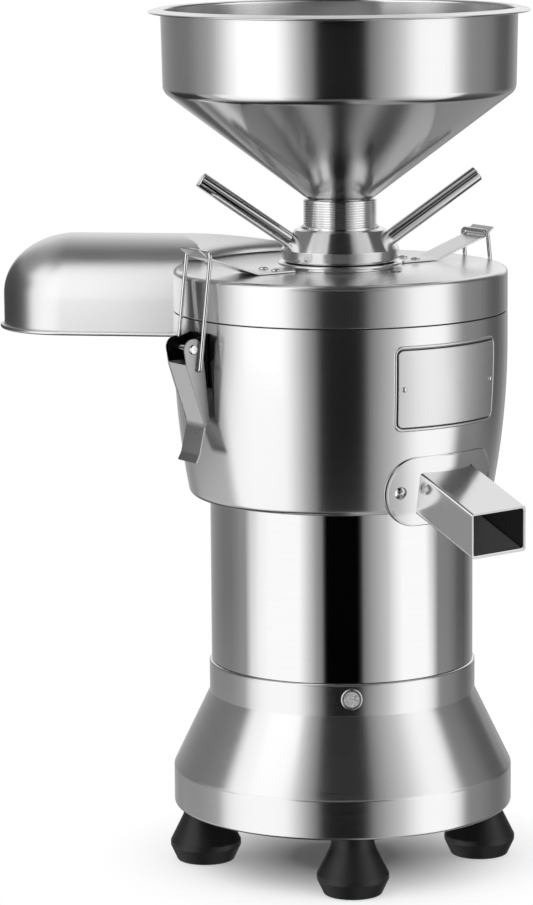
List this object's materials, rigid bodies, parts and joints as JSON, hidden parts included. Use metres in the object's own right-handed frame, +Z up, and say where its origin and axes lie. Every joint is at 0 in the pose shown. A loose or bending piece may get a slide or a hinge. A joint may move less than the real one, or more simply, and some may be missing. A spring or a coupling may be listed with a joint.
{
  "type": "soy milk machine",
  "caption": "Upright stainless soy milk machine: hopper, threaded stone adjuster with rods, latched lid, side residue hood, square spout, motor tube and flared base on rubber feet.",
  "frame": {"origin": "middle of the bounding box at the level of the foot soles", "axes": "+Z up along the motor shaft, -X towards the residue hood, -Y towards the front with the push button"},
  "size_m": [0.4608, 0.3088, 0.708],
  "materials": {
    "housing_steel": "fine circular brushing",
    "lid_steel": "fine circular brushing",
    "hopper_steel": "spun and polished",
    "base_steel": "spun and polished",
    "tube_steel": "polished",
    "hood_steel": "satin",
    "sheet_steel": "satin sheet",
    "plate_steel": "fine satin",
    "latch_steel": "pressed, bright",
    "turned_steel": "turned, bright",
    "bright_steel": "polished",
    "button_cap": "fine grain",
    "iron": "dark",
    "copper_winding": "lacquered wire",
    "grindstone": "coarse grit",
    "black_rubber": "matt",
    "black_plastic": "moulded"
  },
  "bodies": {
    "machine": {"foot_1": "black_rubber", "foot_2": "black_rubber", "foot_3": "black_rubber", "foot_4": "black_rubber", "base_skirt": "base_steel", "bottom_plate": "iron", "button_housing": "bright_steel", "cable_gland": "black_plastic", "motor_tube": "tube_steel", "stator_core": "iron", "upper_winding": "copper_winding", "lower_winding": "copper_winding", "upper_end_shield": "iron", "lower_end_shield": "iron", "upper_bearing": "bright_steel", "lower_bearing": "bright_steel", "motor_capacitor": "black_plastic", "grinding_chamber": "housing_steel", "shaft_seal": "black_rubber", "spout": "sheet_steel", "spout_screw_left": "bright_steel", "spout_screw_right": "bright_steel", "nameplate": "plate_steel", "plate_rivet_left": "bright_steel", "plate_rivet_right": "bright_steel", "lid": "lid_steel", "lid_gasket": "black_rubber", "residue_hood": "hood_steel", "hood_screw": "bright_steel", "thrust_washer": "turned_steel", "latch_bracket_left": "latch_steel", "latch_bracket_right": "latch_steel", "latch_pin_left": "bright_steel", "latch_pin_right": "bright_steel", "catch_strip_left": "latch_steel", "catch_strip_right": "latch_steel", "catch_rivet_left_a": "bright_steel", "catch_rivet_left_b": "bright_steel", "catch_rivet_right_a": "bright_steel", "catch_rivet_right_b": "bright_steel"},
    "rotor": {"motor_shaft": "bright_steel", "rotor_core": "iron", "cooling_fan": "black_plastic", "rotor_plate": "turned_steel", "lower_stone": "grindstone", "stone_nut": "bright_steel", "filter_basket": "sheet_steel"},
    "hub": {"adjusting_hub": "turned_steel", "handle_rod_left": "turned_steel", "handle_rod_right": "turned_steel"},
    "feed": {"feed_tube": "turned_steel", "stone_carrier": "turned_steel", "upper_stone": "grindstone"},
    "hopper_body": {"hopper": "hopper_steel"},
    "lever_left": {"latch_lever_left": "latch_steel"},
    "lever_right": {"latch_lever_right": "latch_steel"},
    "bail_left": {"latch_bail_left": "bright_steel"},
    "bail_right": {"latch_bail_right": "bright_steel"},
    "button": {"push_button": "button_cap"}
  },
  "joints": [
    {"name": "rotor_spin", "type": "hinge", "parent": "machine", "child": "rotor", "pos_m": [0.07255, 0, 0.3], "axis": [0, 0, 1], "continuous": true},
    {"name": "hub_turn", "type": "hinge", "parent": "machine", "child": "hub", "pos_m": [0.07255, 0, 0.51], "axis": [0, 0, 1], "range_deg": [-541, 0]},
    {"name": "feed_rise", "type": "slide", "parent": "machine", "child": "feed", "axis": [0, 0, 1], "range_m": [0, 0.003]},
    {"name": "hopper_lift", "type": "slide", "parent": "feed", "child": "hopper_body", "axis": [0, 0, 1], "range_m": [0, 0.06]},
    {"name": "latch_left_open", "type": "hinge", "parent": "machine", "child": "lever_left", "pos_m": [-0.03914, -0.10235, 0.4405], "axis": [-0.6756, 0.7373, 0], "range_deg": [0, 130]},
    {"name": "bail_left_swing", "type": "hinge", "parent": "lever_left", "child": "bail_left", "pos_m": [-0.03619, -0.09965, 0.4235], "axis": [-0.6756, 0.7373, 0], "range_deg": [-104, 0]},
    {"name": "latch_right_open", "type": "hinge", "parent": "machine", "child": "lever_right", "pos_m": [0.18425, 0.10235, 0.4405], "axis": [0.6756, -0.7373, 0], "range_deg": [0, 130]},
    {"name": "bail_right_swing", "type": "hinge", "parent": "lever_right", "child": "bail_right", "pos_m": [0.1813, 0.09965, 0.4235], "axis": [0.6756, -0.7373, 0], "range_deg": [-104, 0]},
    {"name": "button_press", "type": "slide", "parent": "machine", "child": "button", "axis": [-0.2079, 0.9781, 0], "range_m": [0, 0.0025], "stiffness_N_per_m": 400}
  ],
  "couplings": [
    {"joint": "hub_turn", "follows": "feed_rise", "rad_per_m": -3141.6},
    {"joint": "bail_left_swing", "follows": "latch_left_open", "ratio": -0.8},
    {"joint": "bail_right_swing", "follows": "latch_right_open", "ratio": -0.8}
  ]
}
